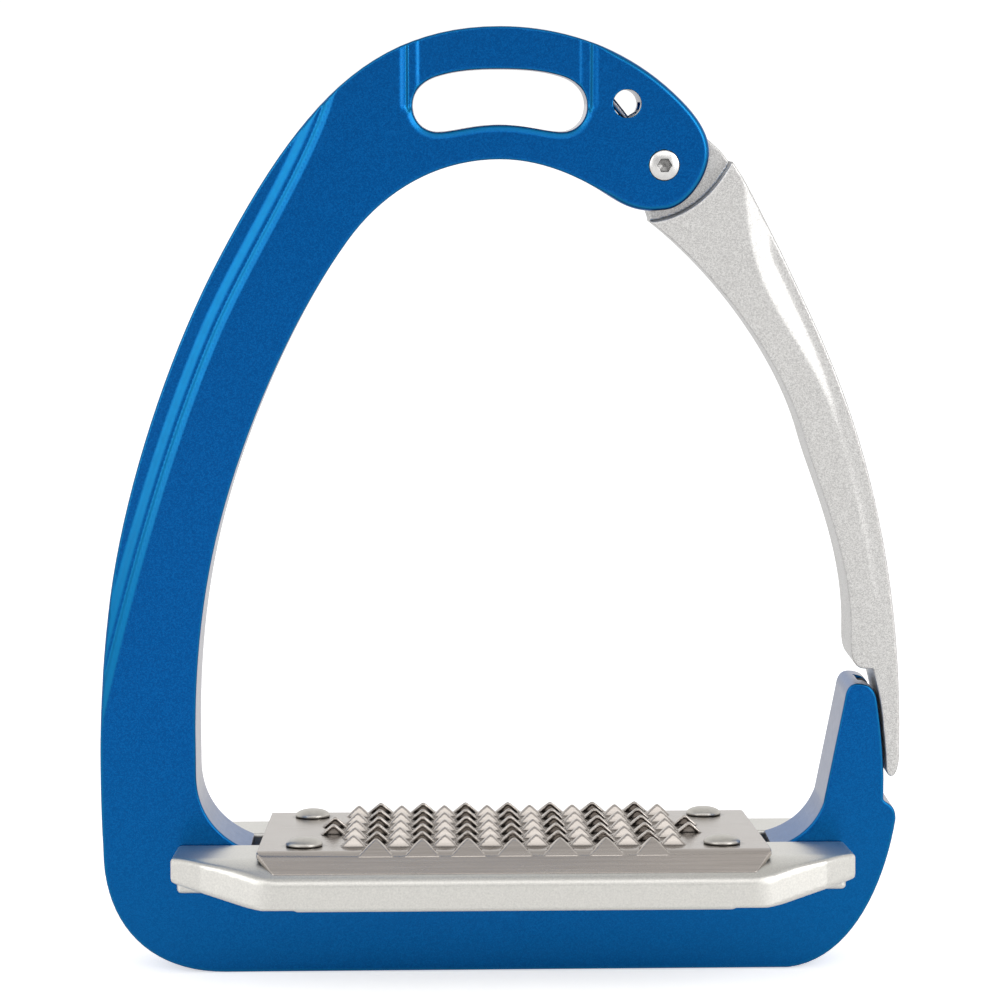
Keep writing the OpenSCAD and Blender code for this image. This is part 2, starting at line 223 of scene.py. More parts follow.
def gradient(field, points, reach):
    result = np.empty_like(points)
    for k in range(3):
        shift = np.zeros(3)
        shift[k] = reach
        result[:, k] = (field(*(points + shift).T) - field(*(points - shift).T)) / (2 * reach)
    return result


def crossing_mean(values, cells):
    """Mean of the points where the surface crosses each cell's edges, within the cell."""
    corner = values[tuple((cells[:, None] + CORNERS).transpose(2, 0, 1))]
    total, hits = np.zeros((len(cells), 3)), np.zeros(len(cells))
    for a, b in combinations(range(8), 2):
        if np.abs(CORNERS[a] - CORNERS[b]).sum() != 1:
            continue
        at_a, at_b = corner[:, a], corner[:, b]
        crossed = (at_a < 0) != (at_b < 0)
        t = np.where(crossed, at_a / np.where(crossed, at_a - at_b, 1), 0)
        total += (CORNERS[a] + (CORNERS[b] - CORNERS[a]) * t[:, None]) * crossed[:, None]
        hits += crossed
    return total / hits[:, None]


def grid_quads(inside, ids):
    """One quad around each grid edge that the surface crosses."""
    quads = []
    for k in range(3):
        near, far = [slice(1, -1)] * 3, [slice(1, -1)] * 3
        near[k], far[k] = slice(0, -1), slice(1, None)
        found = np.argwhere(inside[tuple(near)] != inside[tuple(far)])
        base = found + 1
        base[:, k] = found[:, k]
        ring = []
        for back1, back2 in ((1, 1), (0, 1), (0, 0), (1, 0)):
            cell = base.copy()
            cell[:, (k + 1) % 3] -= back1
            cell[:, (k + 2) % 3] -= back2
            ring.append(ids[tuple(cell.T)])
        quad = np.stack(ring, 1)
        flip = ~inside[tuple(base.T)]
        quad[flip] = quad[flip][:, ::-1]
        quads.append(quad)
    return np.vstack(quads)


def skin(name, field, low, high, cell, node, slot, material, body="iron", place=None):
    """Meshes field = 0, settles each vertex on it and gives it the field's own normal."""
    low, high = np.array(low, float), np.array(high, float)
    size = np.ceil((high - low) / cell).astype(int) + 1
    values = sample(field, low, size, cell)
    inside = values < 0
    count = sum(inside[i:size[0] - 1 + i, j:size[1] - 1 + j, k:size[2] - 1 + k].astype(np.int8)
                for i, j, k in CORNERS)
    active = (count > 0) & (count < 8)
    cells = np.argwhere(active)
    ids = np.full(active.shape, -1, np.int32)
    ids[active] = np.arange(len(cells))

    points = low + cell * (cells + crossing_mean(values, cells))
    home = points.copy()
    for _ in range(3):
        grad = gradient(field, points, 0.04)
        steep = np.maximum((grad * grad).sum(1), 0.05)
        points = points - field(*points.T)[:, None] * grad / steep[:, None]
        points = home + np.clip(points - home, -0.55 * cell, 0.55 * cell)
    grad = gradient(field, points, 0.06)
    normals = grad / np.maximum(np.linalg.norm(grad, axis=1), 1e-9)[:, None]

    quads = grid_quads(inside, ids)
    a, b, c, d = points[quads].transpose(1, 0, 2)
    if (np.cross(c - a, d - b) * normals[quads[:, 0]]).sum() < 0:
        quads = quads[:, ::-1]
    if place is not None:
        points, normals = place(points), place(normals, turn_only=True)
    add_mesh(name, points, quads.tolist(), node, slot, material, body, normals)


def add_mesh(name, points, faces, node, slot, material, body="iron", normals=None):
    mesh = bpy.data.meshes.new(name)
    mesh.from_pydata((np.asarray(points) * MM).tolist(), [], faces)
    mesh.validate()
    mesh.polygons.foreach_set("use_smooth", [True] * len(mesh.polygons))
    mesh.update()
    if normals is not None:
        mesh.normals_split_custom_set_from_vertices(normals.tolist())
    mesh.materials.append(material)
    obj = bpy.data.objects.new(name, mesh)
    bpy.context.scene.collection.objects.link(obj)
    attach(obj, body)
    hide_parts(node)


# ---------------------------------------------------------------- shader helpers
def plug(socket, value):
    """Links an output to a socket, or sets a plain value; colours are given without alpha."""
    if isinstance(value, bpy.types.NodeSocket):
        socket.id_data.links.new(value, socket)
    else:
        socket.default_value = (*value, 1) if socket.type == "RGBA" else value


def add(tree, kind, **settings):
    """Adds a node. Settings are inputs, with _ for a space, or else properties."""
    node = tree.nodes.new("ShaderNode" + kind)
    for key, value in settings.items():
        label = key.replace("_", " ")
        if label in node.inputs:
            plug(node.inputs[label], value)
        else:
            setattr(node, key, value)
    return node


def wire(node, *values):
    """Fills a node's first inputs in order and returns its first output."""
    for socket, value in zip(node.inputs, values):
        plug(socket, value)
    return node.outputs[0]


def new_material(name):
    material = bpy.data.materials.new(name)
    material.use_nodes = True
    material.node_tree.nodes.clear()
    return material, material.node_tree


def coords(tree, stretch=(1, 1, 1)):
    place = add(tree, "TexCoord").outputs["Object"]
    return add(tree, "Mapping", Vector=place, Scale=stretch).outputs[0]


def ramp(tree, factor, *stops):
    """Stops are (position, colour), where one number stands for a grey."""
    node = add(tree, "ValToRGB", Fac=factor)
    elements = node.color_ramp.elements
    while len(elements) < len(stops):
        elements.new(0.5)
    for element, (position, colour) in zip(elements, stops):
        element.position = position
        element.color = (*(colour if isinstance(colour, tuple) else (colour,) * 3), 1)
    return node.outputs[0]


def noise(tree, place, scale, detail=2, roughness=0.5):
    return add(tree, "TexNoise", Vector=place, Scale=scale, Detail=detail,
               Roughness=roughness).outputs["Fac"]


def grains(tree, place, scale):
    colour = add(tree, "TexVoronoi", Vector=place, Scale=scale).outputs["Color"]
    return wire(add(tree, "SeparateColor"), colour)


def calc(tree, operation, a, b):
    return wire(add(tree, "Math", operation=operation), a, b)


def vary(tree, pattern, span, centre):
    """Spreads a 0 to 1 pattern over a span about a centre."""
    return calc(tree, "ADD", calc(tree, "MULTIPLY", pattern, span), centre - span / 2)


def mix(tree, factor, a, b, blend="MIX"):
    node = add(tree, "Mix", data_type="RGBA", blend_type=blend)
    for index, value in ((0, factor), (6, a), (7, b)):  # the factor and the two colours
        plug(node.inputs[index], value)
    return node.outputs[2]


def tint(tree, mask, amount, under, over):
    """Lays a colour over another by a share of a mask."""
    return mix(tree, calc(tree, "MULTIPLY", mask, amount), under, over)


def bump(tree, height, strength, distance, **under):
    return add(tree, "Bump", Strength=strength, Distance=distance, Height=height,
               **under).outputs[0]


def edges(tree, low, high):
    pointiness = add(tree, "NewGeometry").outputs["Pointiness"]
    return ramp(tree, pointiness, (low, 0), (high, 1))


def scaled(tone, factor, lift=0):
    return tuple(min(1, factor * c + lift) for c in tone)


# ---------------------------------------------------------------- materials
def paint(name, dark, mid, light, metallic, roughness, flake_scale, flake_bump, coat, peel,
          flop_and_highlight_tint=None, glancing_reflection=None):
    """Metallic lacquer: flakes of three tones, each tipped a little, under faint orange peel."""
    material, tree = new_material(name)
    place = coords(tree)
    flake = grains(tree, place, flake_scale)
    colour = ramp(tree, flake, (0.0, dark), (0.5, mid), (1.0, light))
    cloud = noise(tree, place, scale=90, detail=3)
    colour = tint(tree, cloud, 0.16, colour, scaled(mid, 0.8))
    colour = tint(tree, edges(tree, 0.52, 0.62), 0.10, colour, scaled(light, 1.5, 0.02))
    if flop_and_highlight_tint:
        # the flakes turn paler when tipped a little, partly a real flop and partly a painted
        # highlight tint, and the clear lacquer takes over at a glance as a painted grey reflection
        facing = add(tree, "LayerWeight", Blend=0.5).outputs["Facing"]
        tipped = ramp(tree, facing, (0.03, 0), (0.11, 1), (0.22, 1), (0.42, 0.25))
        colour = mix(tree, tipped, colour, flop_and_highlight_tint)
        colour = mix(tree, ramp(tree, facing, (0.66, 0), (0.90, 1)), colour, glancing_reflection)
    orange_peel = bump(tree, noise(tree, place, scale=420, detail=1), peel, distance=0.00006)
    shader = add(tree, "BsdfPrincipled", Base_Color=colour, Metallic=metallic,
                 Roughness=vary(tree, noise(tree, place, scale=700), 0.12, roughness),
                 Coat_Weight=coat, Coat_Roughness=0.14, Coat_IOR=1.22,
                 Normal=bump(tree, flake, flake_bump, distance=0.00003, Normal=orange_peel))
    add(tree, "OutputMaterial", Surface=shader.outputs[0])
    return material


def metal(name, tone, roughness, scratch, stretch=(1, 1, 1), speck=0.0, wear=0.12, pit=0.0,
          mottled=0.22, hollow_shade=None, upward_shade=None):
    """Bare metal: drawn or brushed streaks, a mottle in the sheen, and paler rubbed edges.

    The next to last argument gives the reach of painted shade in hollows and the brightness
    left there; the last gives the brightness of painted shade on faces that look up.
    """
    material, tree = new_material(name)
    plain = coords(tree)
    streak = noise(tree, coords(tree, stretch), scale=900, detail=4, roughness=0.65)
    mottle = noise(tree, plain, scale=160, detail=4, roughness=0.6)
    colour = ramp(tree, streak, (0.25, scaled(tone, 0.86)), (0.75, scaled(tone, 1.1)))
    colour = tint(tree, mottle, mottled, colour, scaled(tone, 0.88))
    if speck:
        colour = tint(tree, grains(tree, plain, 3400), speck, colour, scaled(tone, 0.6))
    colour = tint(tree, edges(tree, 0.52, 0.6), wear, colour, scaled(tone, 1.25))
    if hollow_shade:
        # painted shade: hollows, found by ambient occlusion, are darkened
        reach, left = hollow_shade
        open_sky = add(tree, "AmbientOcclusion", Distance=reach, samples=6).outputs["AO"]
        shade = ramp(tree, open_sky, (0.55, left), (0.96, 1))
        colour = mix(tree, 1.0, colour, shade, "MULTIPLY")
    if upward_shade:
        # painted shade: faces that look up are darkened
        normal = add(tree, "NewGeometry").outputs["True Normal"]
        up = add(tree, "SeparateXYZ", Vector=normal).outputs["Z"]
        dull = ramp(tree, up, (0.88, 1), (0.95, upward_shade))
        colour = mix(tree, 1.0, colour, dull, "MULTIPLY")
    sheen = calc(tree, "ADD", calc(tree, "MULTIPLY", streak, 0.14),
                 vary(tree, mottle, 0.08, roughness - 0.07))
    relief = bump(tree, streak, scratch, distance=0.00003)
    if pit:
        relief = bump(tree, noise(tree, plain, scale=2600), pit, distance=0.00004, Normal=relief)
    shader = add(tree, "BsdfPrincipled", Base_Color=colour, Roughness=sheen, Metallic=1.0,
                 Normal=relief)
    add(tree, "OutputMaterial", Surface=shader.outputs[0])
    return material


def soft(name, tone, roughness, grain_scale, grain_bump):
    """Rubber or plastic: a fine matt grain with darker and paler patches."""
    material, tree = new_material(name)
    place = coords(tree)
    fine = noise(tree, place, grain_scale, detail=3)
    broad = noise(tree, place, scale=220)
    colour = ramp(tree, broad, (0.3, scaled(tone, 0.8)), (0.7, scaled(tone, 1.25)))
    shader = add(tree, "BsdfPrincipled", Base_Color=colour,
                 Roughness=vary(tree, fine, 0.2, roughness),
                 Normal=bump(tree, fine, grain_bump, distance=0.00005))
    add(tree, "OutputMaterial", Surface=shader.outputs[0])
    return material


# frame paint: the tipped colour is partly a painted highlight tint, the grey a painted glancing
# reflection
BLUE = paint("frame_paint", dark=(0.0, 0.077, 0.285), mid=(0.0, 0.096, 0.34),
             light=(0.002, 0.126, 0.415), metallic=1.0, roughness=0.33, flake_scale=5200,
             flake_bump=0.035, coat=0.4, peel=0.05,
             flop_and_highlight_tint=(0.003, 0.145, 0.345), glancing_reflection=(0.36, 0.35, 0.385))
SILVER = paint("arm_paint", dark=(0.47, 0.46, 0.45), mid=(0.63, 0.62, 0.60),
               light=(0.77, 0.76, 0.74), metallic=0.85, roughness=0.42, flake_scale=6500,
               flake_bump=0.10, coat=0.10, peel=0.08)
TREAD = metal("tread_aluminium", (0.745, 0.73, 0.685), roughness=0.37, scratch=0.04,
              stretch=(3.2, 3.2, 3.2), speck=0.12, pit=0.03, mottled=0.08)
# the grip, bright and rivet steels get painted shade in their hollows
GRIP = metal("grip_stainless", (0.58, 0.53, 0.485), roughness=0.25, scratch=0.10,
             # the grip's faces that look up get painted shade too
             stretch=(0.05, 2.4, 1), hollow_shade=(0.0011, 0.30), upward_shade=0.80)
BRIGHT = metal("bright_steel", (0.72, 0.71, 0.69), roughness=0.24, scratch=0.04,
               hollow_shade=(0.0017, 0.10))
RIVET = metal("rivet_steel", (0.60, 0.575, 0.53), roughness=0.40, scratch=0.05, pit=0.05,
              hollow_shade=(0.0009, 0.50))
DARK = metal("dark_steel", (0.13, 0.13, 0.145), roughness=0.42, scratch=0.08, wear=0.35, pit=0.1)
WIRE = metal("spring_wire", (0.34, 0.34, 0.36), roughness=0.30, scratch=0.06,
             stretch=(1, 1, 0.1))
BRONZE = metal("bush_bronze", (0.60, 0.42, 0.18), roughness=0.40, scratch=0.05, speck=0.35,
               pit=0.15)
ACETAL = soft("washer_plastic", (0.05, 0.05, 0.055), roughness=0.42, grain_scale=1800,
              grain_bump=0.06)
RUBBER = soft("bumper_rubber", (0.02, 0.02, 0.024), roughness=0.66, grain_scale=2600,
              grain_bump=0.2)

# ---------------------------------------------------------------- frame
frame_rim = OutlineDistance(
    (0, 176.6, 11.5, 176.6, 23.5, 172.8, 33, 163.3, 20),
    (35.4, 160.9, 38.2, 157.6, 38.2, 153.8, 12),
    (38.2, 149.6, 34.2, 143.4, 29.5, 143.4, 16),
    (26.6, 143, 23.8, 143.6, 21.2, 145.2, 8),
    (16.5, 148.3, 9, 152.65, 0, 152.65, 16),
    (-11.5, 152.65, -21.2, 146.9, -27.7, 138, 18),
    (-37.8, 124.3, -47.7, 102.4, -52.5, 83, 18),
    (-55.6, 70.4, -56.9, 57, -56.9, 44, 12),
    (-56.9, 38, -56.9, 31, -53, 26, -47, 23.6, 16),
    (-47, 23.6), (-47, 19), (51.4, 19),
    (51.4, 23.6, 56.2, 24.8, 59.9, 28, 61.3, 33, 16),
    (64.7, 52, 64.9, 54, 65.6, 55.1, 67, 55.1, 10),
    (69.3, 55.1, 70.3, 54.2, 70.8, 52, 10),
    (71.6, 47, 72.3, 41, 72.4, 35.2, 10),
    (72.4, 32.8, 72.9, 31.9, 74.8, 32, 74.8, 29, 10),
    (72.8, 15, 66, 0, 53, 0, 20),
    (-52, 0, -66, 0, -74.8, 9, -74.6, 24, 20),
    (-75.05, 38, -74.9, 55.2, -72.55, 71.6, 14),
    (-69.45, 92.4, -60.95, 117.1, -51.4, 134.7, 18),
    (-36.7, 162, -23.5, 176.6, 0, 176.6, 24))
EYE_HALF = outline(
    (0, 168.9, 4.5, 168.9, 8, 168.6, 11, 167.7, 8),
    (14, 166.9, 15.85, 164.9, 15.85, 162.4, 12),
    (15.85, 159.6, 13.9, 157.6, 11.3, 157.6, 12),
    (8.5, 157.6, 5, 158.9, 0, 158.9, 10),
    (0, 158.9))
eye_rim = OutlineDistance(*EYE_HALF, *(EYE_HALF[1:-1] * [-1, 1])[::-1])
# the lowered outer border of the -X side
frame_border = OutlineDistance(
    (-29.5, 165, -32.2, 153.6, -44.3, 135.5, -50.8, 121.1, 18),
    (-58.8, 103.1, -67.4, 76.8, -75.8, 41, 22),
    (-75.8, 41), (-92, 41), (-92, 175), (-34, 175))
# the web left standing in the slot around the pivot
slot_web = OutlineDistance(polar(8.5, 213), polar(8.25, 228), polar(8.5, 243),
                           polar(16, 243), polar(16, 213))
# the groove at the foot of the +X side, which takes the bumper and the arm's rib
foot_groove = OutlineDistance((74.5, 34), (70, 34), (69.6, 41), (68.9, 47), (68.1, 52),
                              (67.6, 56), (67.6, 58), (74.5, 58))


def frame_relief(x, z, eye):
    """How far each face lies below the full thickness."""
    past = -frame_border(x, z)
    fall = np.clip((past - 2.1) / 2.3, 0, 1)
    lip = np.clip(past / 1.15, 0, 1)
    border = (0.38 * (0.6 * lip + 0.4 * ease(lip)) + 0.46 * ease((past - 0.95) / 1.05)
              + 0.86 * (0.35 * fall + 0.65 * ease(fall)))
    # a panel around the eye, sunk in three steps
    side = np.abs(x + 0.1)
    panel = sum(drop * ease((half_width - side) / run) for drop, half_width, run
                in ((0.40, 18.4, 1.5), (0.55, 17.1, 0.8), (0.35, 15.4, 1.2)))
    panel = panel * ease((z - 160.2) / 2.4)
    bevel = 0.5 * (1 - ease((eye + 0.1) / 1.7))
    return np.maximum(border, np.maximum(panel, bevel))


def frame_field(x, y, z):
    x, z = x - ORIGIN_X, z - ORIGIN_Z
    eye = eye_rim(x, z)
    faces = np.abs(y) - (HALF_THICK - frame_relief(x, z, eye))
    # edges are rounder at the upper +X end, around the pivot
    fork = ease((x - 16) / 6) * ease((z - 138) / 4)
    shape = both(np.maximum(frame_rim(x, z), -eye), faces, 0.5 + 0.7 * fork)
    radius = pivot_distance(x, z)
    slot = np.maximum(np.maximum(radius - 12, -slot_web(x, z)), np.abs(y) - 3.6)
    shape = cut(shape, slot, 0.3)
    # pivot hole, with seats for the screw head in front and the barrel head behind
    shape = cut(shape, radius - 2.53, 0.12)
    shape = cut(shape, np.maximum(radius - 2.76, y + HALF_THICK - 1), 0.06)
    shape = cut(shape, np.maximum(radius - 3.9, HALF_THICK - 1.2 - y), 0.25)
    # round hole on the +X side of the eye
    shape = cut(shape, np.hypot(x - 23.1, z - 162.7) - 2.55, 0.14)
    # channel for the spring's straight leg
    leg_x, leg_z = math.cos(math.radians(LEG_ANGLE)), math.sin(math.radians(LEG_ANGLE))
    along = np.clip((x - PIVOT_X) * leg_x + (z - PIVOT_Z) * leg_z, 0, 17.3)
    channel = np.sqrt((x - PIVOT_X - along * leg_x) ** 2 + (z - PIVOT_Z - along * leg_z) ** 2
                      + (y - LEG_Y) ** 2) - 0.7
    shape = np.maximum(shape, -channel)
    shape = cut(shape, np.maximum(foot_groove(x, z), np.abs(y) - 2.1), 0.3)
    # counterbores and holes for the tread screws
    for screw_x in SCREWS_X:
        radius = np.hypot(x + ORIGIN_X - screw_x, y)
        shape = cut(shape, np.maximum(radius - 4.75, z - 9), 0.4)
        shape = np.maximum(shape, -np.maximum(radius - 2.75, z - 24))
    return shape


skin("frame_shell", frame_field, FRAME_LOW - 1.0, FRAME_HIGH + 1.0, 0.37, "frame",
     "frame_paint", BLUE)

# ---------------------------------------------------------------- release arm
arm_rim = OutlineDistance(
    (42.3, 152.4, 39.6, 147.2, 35.2, 142.2, 27.5, 141.3, 18),
    (41, 131, 52.6, 114.6, 56.4, 101.2, 24),
    (59, 92.2, 65.8, 79, 65.6, 63.5, 18),
    (65.6, 59.8, 66.3, 57.9, 68.6, 57.9, 12),
    (69.9, 57.9, 70.3, 55.5, 71.6, 52.5, 72.1, 46, 12),
    (72.5, 43, 72.7, 40.5, 72.75, 38.6, 8),
    (73, 36.6, 75.1, 36.2, 75.2, 41.4, 12),
    (75.2, 75, 68.4, 101, 57.6, 123.6, 28),
    (52.6, 134, 48.5, 142.5, 43, 151.6, 12))
# the lowered outer border of the arm
arm_border = OutlineDistance(
    (43.3, 154, 44.9, 144, 44.2, 135.5, 50.2, 125.4, 16),
    (55, 117.4, 60.6, 110.4, 64.2, 96.2, 16),
    (66, 88.6, 68, 81, 69.4, 72.6, 8),
    (69.4, 72.6), (70.2, 69.8), (71.7, 67.6), (73.2, 65), (76.5, 60), (92, 60), (92, 154))
arm_tongue = OutlineDistance(
    *arc(8, 243, 328, 6), (45.2, 146.8), (43, 150.9), (40.6, 154), (38.2, 156.2),
    *arc(8.6, 40, 91, 5), *arc(10.8, 95, 146, 5), *arc(8, 150, 235, 6))
tongue_root = OutlineDistance((26.9, 143.5), (27.6, 141.3), (34, 136.6), (46, 142),
                              (45, 148.5), (35.5, 148.5))
foot_rib = OutlineDistance((73.5, 38.6), (71.6, 38.6), (71.5, 41), (71, 46), (70.5, 50),
                           (71.3, 52.5), (73.0, 52.5))
spring_window = OutlineDistance([PIVOT_X, PIVOT_Z], polar(14, 145), polar(16, 100),
                                polar(14, 55))


def arm_field(x, y, z):
    x, z = x - ORIGIN_X, z - ORIGIN_Z
    rim = arm_rim(x, z)
    # faces slope away past the border line, held back by how far the point is from the rim
    over = rim - 0.4 + 2.4 * ease((143 - z) / 9) + 0.8 * ease((118 - z) / 20)
    past = -arm_border(x, z) - 0.5 * (over + np.sqrt(over * over + 0.25))
    past = np.maximum(past, 0)
    drop = 0.44 * (past - 0.7 * (1 - np.exp(-past / 0.7)))
    shape = both(rim, np.abs(y) - (HALF_THICK - drop), 0.42)
    tongue = both(np.minimum(arm_tongue(x, z), tongue_root(x, z)), np.abs(y) - 3, 0.3)
    rib = both(foot_rib(x, z), np.abs(y) - 1.75, 0.3)
    shape = join(join(shape, tongue, 0.25), rib, 0.2)
    # pivot hole, then the room for the coil, open to the front
    radius = pivot_distance(x, z)
    shape = cut(shape, radius - 3.22, 0.12)
    room = np.minimum(radius - 5.6, spring_window(x, z))
    shape = cut(shape, np.maximum(room, y - 0.7), 0.15)
    # seat for the spring's end
    seat_x, seat_z = polar(COIL_RADIUS, END_ANGLE)
    seat = np.maximum(np.hypot(x - seat_x, z - seat_z) - 0.7, np.maximum(-y, y - 2.5))
    return np.maximum(shape, -seat)


ARM_LOW, ARM_HIGH = box_mm("release_arm")
skin("release_arm_shell", arm_field, ARM_LOW - 1.0, ARM_HIGH + 1.0, 0.42, "release_arm",
     "arm_paint", SILVER, body="arm")

# ---------------------------------------------------------------- tread, in its own tilted frame
# z = 0 is the top face; the underside is at -BED_THICK
BED_THICK = 8.7
bed_plan = OutlineDistance(
    (62.8, -20.7), (62.8, 20.7), (57, 24.5), (38.2, 32.8), (-38.2, 32.8), (-57, 24.5),
    (-62.8, 20.7), (-62.8, -20.7), (-57, -24.5), (-38.2, -32.8), (38.2, -32.8), (57, -24.5))
# the front pocket in the top face; the back one mirrors it
bed_pocket = OutlineDistance((-58, 9.8), (58, 9.8), (58, 19.2), (54.5, 21.8), (44, 26.8),
                             (-44, 26.8), (-54.5, 21.8), (-58, 19.2))
# X-Z outline of the rise in the underside towards each end
bed_rise = OutlineDistance((46, -BED_THICK), (57, -6), (70, -3.2), (70, -14), (40, -14),
                           (40, -BED_THICK))


def to_world(points, turn_only=False):
    x, y, z = points.T
    turned_points = np.stack([x, y * COS_TILT + z * SIN_TILT, -y * SIN_TILT + z * COS_TILT], 1)
    return turned_points if turn_only else turned_points + [BED_X, 0, BED_Z]


def drill_rivets(shape, x, y):
    for rivet_x in (-RIVET_X, RIVET_X):
        shape = np.maximum(shape, 2.05 - np.hypot(x - rivet_x, np.abs(y) - RIVET_Y))
    return shape


def bed_field(x, y, z):
    side_x, side_y = np.abs(x), np.abs(y)
    shape = both(z, slope(side_y, z, 24.5, 0, 29.8, -3), 1.6)
    shape = both(shape, slope(side_y, z, 29.8, -3, 29.6, -BED_THICK), 1.1)
    shape = both(shape, bed_plan(x, y), 0.9)
    rise = np.maximum(bed_rise(side_x, z), 9.8 - side_y)
    shape = both(shape, both(-BED_THICK - z, -rise, 0.9), 0.9)
    shape = cut(shape, np.maximum(bed_pocket(x, side_y), z + 3.2), 0.5)
    # room for the frame, below the tread and beyond its ends, level with the world
    world_y = y * COS_TILT + z * SIN_TILT
    world_z = -y * SIN_TILT + z * COS_TILT + BED_Z
    frame_faces = np.abs(world_y) - HALF_THICK - 0.1
    shape = cut(shape, np.maximum(frame_faces, world_z - 19.02), 0.2)
    shape = cut(shape, np.maximum(frame_faces, 46.2 - side_x), 0.35)
    for screw_x in SCREWS_X:
        hole = np.maximum(np.hypot(x + BED_X - screw_x, world_y) - 2.5, z + 0.9)
        shape = np.maximum(shape, -hole)
    return drill_rivets(shape, x, y)


skin("footbed_shell", bed_field, (-64, -31, -10), (64, 31, 1.2), 0.5, "footbed",
     "tread_aluminium", TREAD, place=to_world)

# ---------------------------------------------------------------- grip plate: folded sheet
grip_plan = OutlineDistance((46.9, -24.3), (46.9, 24.3), (42.6, 29.5), (-42.6, 29.5),
                            (-46.9, 24.3), (-46.9, -24.3), (-42.6, -29.5), (42.6, -29.5))
GRIP_TOP = 1.5
SHEET = 0.95
COLUMN_PITCH, ROW_PITCH, TOOTH_HEIGHT = 4.2, 9.1, 2.0


def grip_field(x, y, z):
    side_y = np.abs(y)
    fold = slope(side_y, z, 24.3, GRIP_TOP, 28.3, -2.05)
    outer = both(z - GRIP_TOP, fold, 0.9)
    inner = both(z - GRIP_TOP + SHEET, fold + SHEET, 0.3)
    shape = np.maximum(outer, -inner)
    tail = ((side_y - 28.3) * 4 - (z + 2.05) * 3.55) / 5.348  # ends the folds squarely
    shape = both(shape, tail, 0.2)
    # lanced teeth in two sets of columns, half a row apart: one set opens to the rear, the
    # other to the front, and the outermost of the second set rise straight out of the folds
    odd_column = np.clip(2 * np.round((x / COLUMN_PITCH - 1) / 2) + 1, -7, 7)
    odd_row = np.clip(np.round(y / ROW_PITCH), -2, 2)
    even_column = np.clip(2 * np.round(x / COLUMN_PITCH / 2), -8, 8)
    end_column = np.abs(even_column) == 8
    last_row = np.where(end_column, 0.5, 1.5)
    even_row = np.clip(np.round(y / ROW_PITCH - 0.5) + 0.5, -last_row, last_row)
    at_fold = (side_y > 18.9) & ~end_column
    sign = np.where(y < 0, -1.0, 1.0)
    even_along = np.where(at_fold, -sign * (y - sign * 22.6), -(y - even_row * ROW_PITCH))
    # column, place along the tooth, its run, the hollow's back, the rise, the hollow's floor
    teeth = ((odd_column, y - odd_row * ROW_PITCH, 1.25, -0.9, 2.1, -0.2),
             (even_column, even_along, np.where(at_fold, 1.95, 1.5), 0.1,
              np.where(at_fold, 1.05, 1.6), 0.85))
    for column, along, run, back, rise, floor_z in teeth:
        sideways = x - column * COLUMN_PITCH
        crest = np.sqrt(sideways * sideways + 0.12) - 0.35
        flanks = (z - GRIP_TOP + 0.95 * crest - TOOTH_HEIGHT) / 1.379
        ramp_up = (z - GRIP_TOP - rise * (along + run)) / np.sqrt(1 + rise * rise)
        top = both(flanks, ramp_up, 0.3)
        tooth = np.maximum(both(top, along - 0.75, 0.2), 0.7 - z)
        hollow = np.maximum(both(top + 0.46, back - along, 0.3),
                            np.maximum(along - 0.95, floor_z - z))
        shape = both(np.minimum(shape, tooth), -hollow, 0.08)
    return drill_rivets(both(shape, grip_plan(x, y), 0.2), x, y)


skin("grip_sheet", grip_field, (-48, -29.5, -3), (48, 29.5, 4.3), 0.27, "grip_plate",
     "grip_stainless", GRIP, place=to_world)


# ---------------------------------------------------------------- grip rivets
def ring_quads(rings, sides):
    """Quads that join rings of points, one after another."""
    return [[i * sides + k, i * sides + (k + 1) % sides,
             (i + 1) * sides + (k + 1) % sides, (i + 1) * sides + k]
            for i in range(rings - 1) for k in range(sides)]


def turned(profile, centre, sides=56):
    """A profile of (radius, height) turned about an upright axis, with both ends closed."""
    points = []
    for radius, height in profile:
        for k in range(sides):
            angle = 2 * math.pi * k / sides
            points.append([centre[0] + radius * math.cos(angle),
                           centre[1] + radius * math.sin(angle), height])
    faces = ring_quads(len(profile), sides)
    for ring, order in ((0, -1), (len(profile) - 1, 1)):
        middle = len(points)
        points.append([*centre, profile[ring][1]])
        for k in range(sides):
            face = [ring * sides + k, ring * sides + (k + 1) % sides, middle]
            faces.append(face[::order])
    return points, faces


# (radius, height): clinched foot, shank, and a domed head with a rolled rim
RIVET_PROFILE = [
    (0.35, -4.3), (2.3, -4.3), (2.6, -4.22), (2.82, -4.02), (2.9, -3.75), (2.9, -3.4),
    (2.82, -3.27), (2.6, -3.23), (2.02, -3.23), (2.0, -3.1), (2.0, 1.45), (2.1, 1.53),
    (3.1, 1.53), (3.28, 1.56), (3.38, 1.66), (3.4, 1.8)]
RIVET_PROFILE += [(3.4 * math.cos(math.radians(a)) ** 0.92, 1.8 + 1.33 * math.sin(math.radians(a)))
                  for a in range(6, 90, 6)]


def merge(parts):
    """Puts (points, faces) parts together into one."""
    points, faces = [], []
    for part_points, part_faces in parts:
        base = len(points)
        points += part_points
        faces += [[base + k for k in face] for face in part_faces]
    return np.array(points), faces


rivet_points, rivet_faces = merge(
    turned(RIVET_PROFILE, centre)
    for centre in product((-RIVET_X, RIVET_X), (-RIVET_Y, RIVET_Y)))
add_mesh("grip_rivet_set", to_world(rivet_points), rivet_faces, "grip_rivets", "bright_steel",
         RIVET)


# ---------------------------------------------------------------- pivot hardware
def pivot_box(radius, y_low, y_high):
    return ((PIVOT_X - radius, y_low, PIVOT_Z - radius),
            (PIVOT_X + radius, y_high, PIVOT_Z + radius))


